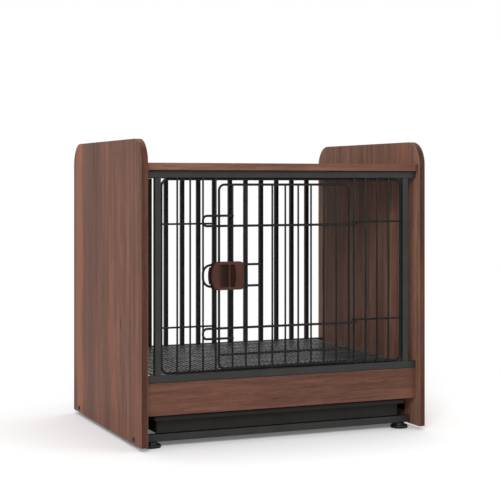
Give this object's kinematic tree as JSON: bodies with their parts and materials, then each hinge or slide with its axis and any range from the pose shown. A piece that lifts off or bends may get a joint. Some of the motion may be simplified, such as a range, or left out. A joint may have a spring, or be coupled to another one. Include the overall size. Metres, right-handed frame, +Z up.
{
  "type": "dog crate end table",
  "caption": "Wooden side table built round a barred dog crate, with a swinging wire door, a sliding latch, a slotted floor, a pull-out tray and levelling feet.",
  "frame": {"origin": "on the floor under the middle of the whole outline, latch included", "axes": "+X to the right seen from the front, -Y out of the front, +Z up"},
  "size_m": [0.6554, 0.5132, 0.629],
  "materials": {
    "wood": "dark walnut foil with printed grain, satin",
    "steel": "charcoal black powder coat, satin",
    "wire": "black coated wire, satin",
    "floor": "black moulded grid, matte",
    "tray": "black moulded tray, fine matte texture",
    "latch": "dark brown moulded plastic, satin",
    "foot": "black moulded plastic",
    "zinc": "zinc plated",
    "dowel": "raw beech"
  },
  "bodies": {
    "carcass": {"side_panel_left": "wood", "side_panel_right": "wood", "table_top": "wood", "front_apron": "wood", "top_dowel_front_left": "dowel", "top_dowel_rear_left": "dowel", "apron_dowel_left": "dowel", "top_dowel_front_right": "dowel", "top_dowel_rear_right": "dowel", "apron_dowel_right": "dowel", "front_top_rail": "steel", "rear_top_rail": "steel", "front_mid_rail": "steel", "rear_mid_rail": "steel", "front_bottom_rail": "steel", "rear_bottom_rail": "steel", "front_post_left": "steel", "front_post_right": "steel", "rear_bar_01": "steel", "rear_bar_02": "steel", "rear_bar_03": "steel", "rear_bar_04": "steel", "rear_bar_05": "steel", "rear_bar_06": "steel", "rear_bar_07": "steel", "rear_bar_08": "steel", "rear_bar_09": "steel", "rear_bar_10": "steel", "rear_bar_11": "steel", "rear_bar_12": "steel", "rear_bar_13": "steel", "rear_bar_14": "steel", "floor_bearer_left": "steel", "floor_bearer_right": "steel", "panel_bolt_front_left": "steel", "runner_screw_front_left": "zinc", "panel_bolt_rear_left": "steel", "runner_screw_rear_left": "zinc", "panel_bolt_front_right": "steel", "runner_screw_front_right": "zinc", "panel_bolt_rear_right": "steel", "runner_screw_rear_right": "zinc", "floor_grid": "floor", "tray_runner_left": "steel", "tray_runner_right": "steel", "front_wire_frame": "wire", "front_grille_left": "wire", "front_grille_right": "wire"},
    "foot_front_left": {"foot_front_left": "foot"},
    "foot_rear_left": {"foot_rear_left": "foot"},
    "foot_front_right": {"foot_front_right": "foot"},
    "foot_rear_right": {"foot_rear_right": "foot"},
    "tray": {"tray": "tray"},
    "door_leaf": {"door": "wire"},
    "latch": {"latch_slider": "latch"}
  },
  "joints": [
    {"name": "door_swing", "type": "hinge", "parent": "carcass", "child": "door_leaf", "pos_m": [0.159, -0.2333, 0.348], "axis": [0, 0, 1], "range_deg": [0, 155]},
    {"name": "latch_slide", "type": "slide", "parent": "door_leaf", "child": "latch", "axis": [1, 0, 0], "range_m": [0, 0.018]},
    {"name": "tray_slide", "type": "slide", "parent": "carcass", "child": "tray", "axis": [0, -1, 0], "range_m": [0, 0.36]},
    {"name": "foot_front_left_level", "type": "slide", "parent": "carcass", "child": "foot_front_left", "axis": [0, 0, -1], "range_m": [0, 0.008]},
    {"name": "foot_rear_left_level", "type": "slide", "parent": "carcass", "child": "foot_rear_left", "axis": [0, 0, -1], "range_m": [0, 0.008]},
    {"name": "foot_front_right_level", "type": "slide", "parent": "carcass", "child": "foot_front_right", "axis": [0, 0, -1], "range_m": [0, 0.008]},
    {"name": "foot_rear_right_level", "type": "slide", "parent": "carcass", "child": "foot_rear_right", "axis": [0, 0, -1], "range_m": [0, 0.008]}
  ]
}
